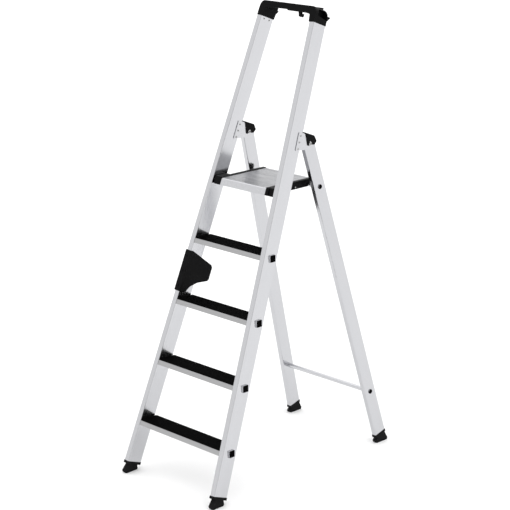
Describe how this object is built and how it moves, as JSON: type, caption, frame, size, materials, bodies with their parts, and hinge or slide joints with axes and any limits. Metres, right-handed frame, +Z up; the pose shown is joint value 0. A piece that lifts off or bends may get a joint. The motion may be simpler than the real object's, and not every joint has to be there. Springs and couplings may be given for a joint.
{
  "type": "platform step ladder",
  "caption": "Folding aluminium step ladder with ribbed treads, a hinged platform, a top bow with tool tray and hook, and a splayed rear frame.",
  "frame": {"origin": "on the floor, at the middle of the ladder's footprint when it stands open", "axes": "+Z up; the climbing side faces -Y and the rear legs stand toward +Y; +X is the climber's right"},
  "size_m": [0.5222, 1.0087, 1.8199],
  "materials": {
    "stile_aluminium": "satin anodised extrusion with fine lengthwise lines",
    "leg_aluminium": "satin anodised extrusion with fine lengthwise lines",
    "tube_aluminium": "satin drawn tube",
    "tread_aluminium": "satin extrusion with fine crosswise lines",
    "deck_aluminium": "satin extrusion with shallow grooves",
    "bracket_aluminium": "satin plate with rolled grain",
    "fastener_steel": "zinc plated, softly brushed",
    "cover_plastic": "ribbed anti-slip strip, matt",
    "bow_plastic": "moulded with a fine grain",
    "grip_plastic": "moulded with a fine grain",
    "hinge_plastic": "moulded with a fine grain",
    "bar_plastic": "moulded with a fine grain",
    "plug_plastic": "moulded, smooth",
    "foot_rubber": "matt moulded rubber"
  },
  "bodies": {
    "front_frame": {"bow_rivet_left_1": "fastener_steel", "bow_rivet_left_2": "fastener_steel", "bow_rivet_right_1": "fastener_steel", "bow_rivet_right_2": "fastener_steel", "carry_grip": "grip_plastic", "cheek_rivet_left_1": "fastener_steel", "cheek_rivet_left_2": "fastener_steel", "cheek_rivet_left_3": "fastener_steel", "cheek_rivet_right_1": "fastener_steel", "cheek_rivet_right_2": "fastener_steel", "cheek_rivet_right_3": "fastener_steel", "front_foot_left": "foot_rubber", "front_foot_right": "foot_rubber", "hinge_cheek_left_inner": "bracket_aluminium", "hinge_cheek_left_outer": "bracket_aluminium", "hinge_cheek_right_inner": "bracket_aluminium", "hinge_cheek_right_outer": "bracket_aluminium", "hinge_cover_left": "hinge_plastic", "hinge_cover_right": "hinge_plastic", "pivot_bolt_left": "fastener_steel", "pivot_bolt_right": "fastener_steel", "platform_pin_left": "fastener_steel", "platform_pin_right": "fastener_steel", "stile_left": "stile_aluminium", "stile_plug_left_1": "plug_plastic", "stile_plug_left_2": "plug_plastic", "stile_plug_left_3": "plug_plastic", "stile_plug_left_4": "plug_plastic", "stile_plug_right_1": "plug_plastic", "stile_plug_right_2": "plug_plastic", "stile_plug_right_3": "plug_plastic", "stile_plug_right_4": "plug_plastic", "stile_right": "stile_aluminium", "top_bow": "bow_plastic", "tread_1": "tread_aluminium", "tread_2": "tread_aluminium", "tread_3": "tread_aluminium", "tread_4": "tread_aluminium", "tread_cover_1": "cover_plastic", "tread_cover_2": "cover_plastic", "tread_cover_3": "cover_plastic", "tread_cover_4": "cover_plastic"},
    "rear_frame": {"brace_plug_left": "plug_plastic", "brace_plug_right": "plug_plastic", "cross_tube": "tube_aluminium", "cross_tube_plug_left": "plug_plastic", "cross_tube_plug_right": "plug_plastic", "lower_brace": "tube_aluminium", "rear_foot_left": "foot_rubber", "rear_foot_right": "foot_rubber", "rear_leg_left": "leg_aluminium", "rear_leg_right": "leg_aluminium"},
    "platform": {"bar_screw_left_1": "fastener_steel", "bar_screw_left_2": "fastener_steel", "bar_screw_right_1": "fastener_steel", "bar_screw_right_2": "fastener_steel", "platform_deck": "deck_aluminium", "platform_side_bar_left": "bar_plastic", "platform_side_bar_right": "bar_plastic"}
  },
  "joints": [
    {"name": "rear_frame_fold", "type": "hinge", "parent": "front_frame", "child": "rear_frame", "pos_m": [0, 0.10562, 1.30468], "axis": [-1, 0, 0], "range_deg": [0, 36.3]},
    {"name": "platform_fold", "type": "hinge", "parent": "front_frame", "child": "platform", "pos_m": [0, -0.04577, 1.138], "axis": [1, 0, 0], "range_deg": [0, 69.5]}
  ],
  "couplings": [
    {"joint": "platform_fold", "follows": "rear_frame_fold", "ratio": 1.912}
  ]
}
